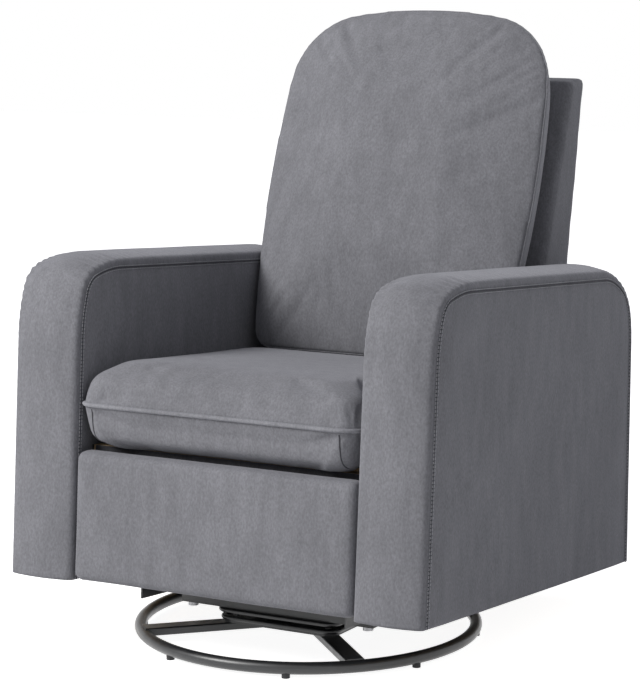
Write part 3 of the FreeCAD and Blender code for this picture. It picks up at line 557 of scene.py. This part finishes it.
def arm_stitching(side, label):
    for share, where in ((1.0, "outer"), (-1.0, "inner")):
        for row, inset in enumerate(STITCH_INSETS):
            line = seam_path(share, side, inset, 0.0012)
            piece = stitches(f"{label}_arm_{where}_stitch_{row}", line, Vector((side * share * 0.0006, 0, 0)))
            dress(piece, "carriage")
        # Dark tube along the seam line between strip and panel: painted shade in the seam's groove.
        line = seam_path(share, side, SEAM_INSET, 0.0010)
        seam_shade_tube = tube(f"{label}_arm_{where}_seam", line, SEAM_RADIUS, SEAM_SHADE, 6)
        dress(seam_shade_tube, "carriage")


# Cushions


def upright_copy(name, node):
    """Copy of a node's solid in the body frame, free of the node's own ties."""
    source = nodes[node]
    piece = source.copy()
    piece.data = source.data.copy()
    piece.name = name
    piece.parent = None
    for key in list(piece.keys()):
        del piece[key]
    bpy.context.scene.collection.objects.link(piece)
    piece.data.transform(BODY.inverted())
    return piece


def remeshed(piece, voxel):
    remesh = piece.modifiers.new("remesh", "REMESH")
    remesh.mode = "VOXEL"
    remesh.voxel_size = voxel


def simulated(name, node, shrink, cap, pinned):
    """Cloth cushion grown from a slightly smaller copy of the node's solid, then fitted to its box."""
    piece = upright_copy(name, node)
    remeshed(piece, CUSHION_VOXEL)
    apply_modifiers(piece)
    smooth = piece.modifiers.new("smooth", "SMOOTH")
    smooth.iterations = 4
    apply_modifiers(piece)
    points = coordinates(piece)
    middle = (points.min(0) + points.max(0)) / 2
    half = (points.max(0) - points.min(0)) / 2
    start = middle + (points - middle) * (1 - shrink / half)
    set_coordinates(piece, start)
    inflate(piece, start, cap, pinned)
    full = coordinates(piece)
    low, high = full.min(0), full.max(0)
    set_coordinates(piece, middle - half + (full - low) * 2 * half / (high - low))
    piece.data.materials.clear()
    piece.data.materials.append(FABRIC)
    return piece


def inflate(piece, start, cap, pinned):
    cloth = piece.modifiers.new("cloth", "CLOTH")
    settings = cloth.settings
    settings.use_pressure = True
    settings.uniform_pressure_force = PRESSURE
    settings.effector_weights.gravity = 0.0
    settings.quality = 5
    cloth.collision_settings.use_collision = False
    held = piece.vertex_groups.new(name="held")
    for index in np.nonzero(pinned(start))[0]:
        held.add([int(index)], 1.0, "REPLACE")
    settings.vertex_group_mass = "held"
    scene = bpy.context.scene
    for number in range(1, CLOTH_FRAMES + 1):
        scene.frame_set(number)
    graph = bpy.context.evaluated_depsgraph_get()
    mesh = bpy.data.meshes.new_from_object(piece.evaluated_get(graph))
    piece.modifiers.clear()
    piece.vertex_groups.clear()
    piece.data = mesh
    moved = coordinates(piece) - start
    length = np.linalg.norm(moved, axis=1, keepdims=True)
    set_coordinates(piece, start + moved * np.minimum(1.0, cap / np.maximum(length, 1e-9)))
    scene.frame_set(1)


def soften(piece):
    smooth = piece.modifiers.new("smooth", "SMOOTH")
    smooth.iterations = 2
    division = piece.modifiers.new("division", "SUBSURF")
    division.levels = 1
    apply_modifiers(piece)


def surface_of(piece):
    mesh = piece.data
    return BVHTree.FromPolygons([v.co for v in mesh.vertices], [tuple(f.vertices) for f in mesh.polygons])


def seat_cushion():
    piece = simulated(
        "seat_cushion_cover", "seat_cushion", 0.004, 0.010,
        lambda p: np.abs(p[:, 2] - SEAT_SEAM_Z) < HELD,
    )
    points = coordinates(piece)
    points[:, 0] = np.clip(points[:, 0], -0.2695, 0.2695)
    set_coordinates(piece, points)
    soften(piece)
    surface = surface_of(piece)
    welt = []
    count = 360
    for k in range(count):
        angle = 2 * math.pi * k / count
        aim = Vector((math.cos(angle), math.sin(angle), 0.0))
        origin = Vector((0.0, -0.148, SEAT_SEAM_Z)) + aim * 0.6
        hit = surface.ray_cast(origin, -aim)[0]
        if hit is not None:
            welt.append(hit + aim * PIPING * 0.35)
    piping = tube("seat_piping", welt, PIPING, WELT, 10, closed=True)
    # Dark tubes up the seat's front corner seams: painted shade in the seam creases.
    for end in (-1, 1):
        line = []
        for k in range(26):
            origin = Vector((end * CORNER_SEAM_X, -0.60, 0.392 - k * 0.0024))
            hit = surface.ray_cast(origin, Vector((0, 1, 0)))[0]
            if hit is not None:
                line.append(hit)
        if len(line) > 2:
            dress(tube(f"seat_corner_seam_shade_{(end + 1) // 2}", line, 0.0012, SEAM_SHADE, 6), "carriage")
    dress(piece, "carriage", "seat_cushion", fill=0.8)
    dress(piping, "carriage")


def rail_gap_shade():
    """Cloth turned down over the front rail, in the gap between seat and front panel, in the near-black
    velvet that paints the shade in that gap.
    """
    near, far = -0.3585, -0.3563
    low, high = 0.306, 0.3247
    half = 0.262
    ring = [(-half, near, low), (half, near, low), (half, near, high), (-half, near, high)]
    points = ring + [(x, far, z) for x, _, z in ring]
    faces = [(0, 1, 2, 3), (7, 6, 5, 4), (0, 4, 5, 1), (1, 5, 6, 2), (2, 6, 7, 3), (3, 7, 4, 0)]
    dress(new_piece("front_rail_gap_shade", points, faces, SEAM_SHADE, smooth=False), "carriage")


def back_point(x, s, depth):
    """Body point at (x, s) on the leaning back plane, depth forward of the cushion's seam."""
    y = CUSHION_SEAM_Y + s * math.sin(BACK_LEAN) - depth * math.cos(BACK_LEAN)
    z = CUSHION_SEAM_Z + s * math.cos(BACK_LEAN) + depth * math.sin(BACK_LEAN)
    return Vector((x, y, z))


def back_cushion():
    lean = Vector((0, -math.cos(BACK_LEAN), math.sin(BACK_LEAN)))
    seam_shade = back_point(0, 0, 0)

    def held(points):
        depth = (points - np.array(seam_shade)) @ np.array(lean)
        return (np.abs(depth) < HELD) | (depth < -0.092)

    piece = simulated("back_cushion_cover", "back_cushion", 0.005, 0.014, held)
    soften(piece)
    surface = surface_of(piece)
    welt = []
    count = 420
    for k in range(count):
        angle = 2 * math.pi * k / count
        centre = back_point(0, CUSHION_MIDDLE_S, 0.0)
        aim = back_point(math.cos(angle), CUSHION_MIDDLE_S + math.sin(angle), 0.0) - centre
        hit = surface.ray_cast(centre + aim * 0.7, -aim)[0]
        if hit is not None:
            welt.append(hit + aim * 0.0006)
    edge = tube("back_edge_seam", welt, EDGE_SEAM, FABRIC, 8, closed=True)
    dress(piece, "back", "back_cushion", fill=0.85)
    dress(edge, "back")


def softened_solid(name, node, body, voxel, fill, puff):
    """Upholstered solid: the node's form with soft edges and a faintly uneven surface."""
    piece = upright_copy(name, node)
    remeshed(piece, voxel)
    smooth = piece.modifiers.new("smooth", "SMOOTH")
    smooth.iterations = 5
    apply_modifiers(piece)
    points = coordinates(piece)
    normals = np.empty(len(points) * 3)
    piece.data.vertices.foreach_get("normal", normals)
    normals = normals.reshape(-1, 3)
    for index, point in enumerate(points):
        swell = puff * noise.noise(Vector(point) * 7.0)
        points[index] = point + normals[index] * swell
    set_coordinates(piece, points)
    piece.data.materials.clear()
    piece.data.materials.append(FABRIC)
    piece.data.polygons.foreach_set("use_smooth", [True] * len(piece.data.polygons))
    return dress(piece, body, node, fill=fill)


# Stage


def stage():
    world = bpy.data.worlds.new("studio")
    bpy.context.scene.world = world
    world.use_nodes = True
    tree = world.node_tree
    soft = tree.nodes["Background"]
    soft.inputs["Color"].default_value = (0.93, 0.95, 1.0, 1.0)
    soft.inputs["Strength"].default_value = 0.27
    white = tree.nodes.new("ShaderNodeBackground")
    white.inputs["Color"].default_value = (1.0, 1.0, 1.0, 1.0)
    white.inputs["Strength"].default_value = 1.0
    mix = tree.nodes.new("ShaderNodeMixShader")
    seen = backdrop_rays(tree)
    tree.links.new(seen, mix.inputs["Fac"])
    tree.links.new(soft.outputs[0], mix.inputs[1])
    tree.links.new(white.outputs[0], mix.inputs[2])
    tree.links.new(mix.outputs[0], tree.nodes["World Output"].inputs["Surface"])
    floor()
    light("key", (-2.2, -3.4, 3.2), (0.0, -0.1, 0.5), 1.8, 198.0, (1.0, 0.995, 0.98))
    light("fill", (3.2, -2.2, 1.8), (0.0, -0.1, 0.5), 2.2, 8.0, (0.96, 0.97, 1.0))
    light("rear", (0.8, 3.0, 3.0), (0.0, 0.1, 0.6), 2.2, 26.0, (1.0, 1.0, 1.0))


def backdrop_rays(tree):
    """1 for camera, glossy and transmission rays."""
    rays = tree.nodes.new("ShaderNodeLightPath")
    total = rays.outputs["Is Camera Ray"]
    for name in ("Is Glossy Ray", "Is Transmission Ray"):
        either = tree.nodes.new("ShaderNodeMath")
        either.operation = "MAXIMUM"
        tree.links.new(total, either.inputs[0])
        tree.links.new(rays.outputs[name], either.inputs[1])
        total = either.outputs[0]
    return total


def floor():
    size = 12.0
    corners = [(-size, -size, 0), (size, -size, 0), (size, size, 0), (-size, size, 0)]
    plane = new_piece("floor", corners, [(0, 1, 2, 3)], floor_material(), smooth=False)


def floor_material():
    material = bpy.data.materials.new("pale_floor")
    material.use_nodes = True
    tree = material.node_tree
    matte = tree.nodes["Principled BSDF"]
    matte.inputs["Base Color"].default_value = (0.80, 0.80, 0.80, 1.0)
    matte.inputs["Roughness"].default_value = 0.9
    glow = tree.nodes.new("ShaderNodeEmission")
    glow.inputs["Strength"].default_value = 0.90
    add = tree.nodes.new("ShaderNodeAddShader")
    tree.links.new(matte.outputs[0], add.inputs[0])
    tree.links.new(glow.outputs[0], add.inputs[1])
    mix = tree.nodes.new("ShaderNodeMixShader")
    tree.links.new(backdrop_rays(tree), mix.inputs["Fac"])
    tree.links.new(matte.outputs[0], mix.inputs[1])
    tree.links.new(add.outputs[0], mix.inputs[2])
    tree.links.new(mix.outputs[0], tree.nodes["Material Output"].inputs["Surface"])
    return material


def light(name, place, aim, size, power, colour):
    lamp = bpy.data.lights.new(name, "AREA")
    lamp.size = size
    lamp.energy = power
    lamp.color = colour
    holder = bpy.data.objects.new(name, lamp)
    holder.location = place
    holder.rotation_euler = (Vector(aim) - Vector(place)).to_track_quat("-Z", "Y").to_euler()
    bpy.context.scene.collection.objects.link(holder)


def camera():
    lens = bpy.data.cameras.new("camera")
    lens.lens = CAMERA_LENS
    lens.sensor_width = 36.0
    lens.shift_x, lens.shift_y = CAMERA_SHIFT
    holder = bpy.data.objects.new("camera", lens)
    look = (Vector(CAMERA_AIM) - Vector(CAMERA_AT)).to_track_quat("-Z", "Y").to_matrix().to_4x4()
    holder.matrix_world = Matrix.Translation(CAMERA_AT) @ look @ Matrix.Rotation(CAMERA_ROLL, 4, "Z")
    bpy.context.scene.collection.objects.link(holder)
    bpy.context.scene.camera = holder


def main():
    scene = bpy.context.scene
    scene.view_settings.view_transform = "Standard"
    camera()
    stage()
    finish_nodes()
    arm_cover(1, "left_arm_upholstery", "left_arm_cover")
    arm_cover(-1, "right_arm_upholstery", "right_arm_cover")
    arm_stitching(1, "left")
    arm_stitching(-1, "right")
    seat_cushion()
    rail_gap_shade()
    back_cushion()
    softened_solid("back_upholstery", "back_cover", "back", 0.006, 0.8, 0.0015)
    softened_solid("rear_panel_upholstery", "rear_pad", "carriage", 0.005, 0.7, 0.001)
    softened_solid("footrest_upholstery", "footrest_pad", "footrest", 0.005, 0.8, 0.0012)


main()
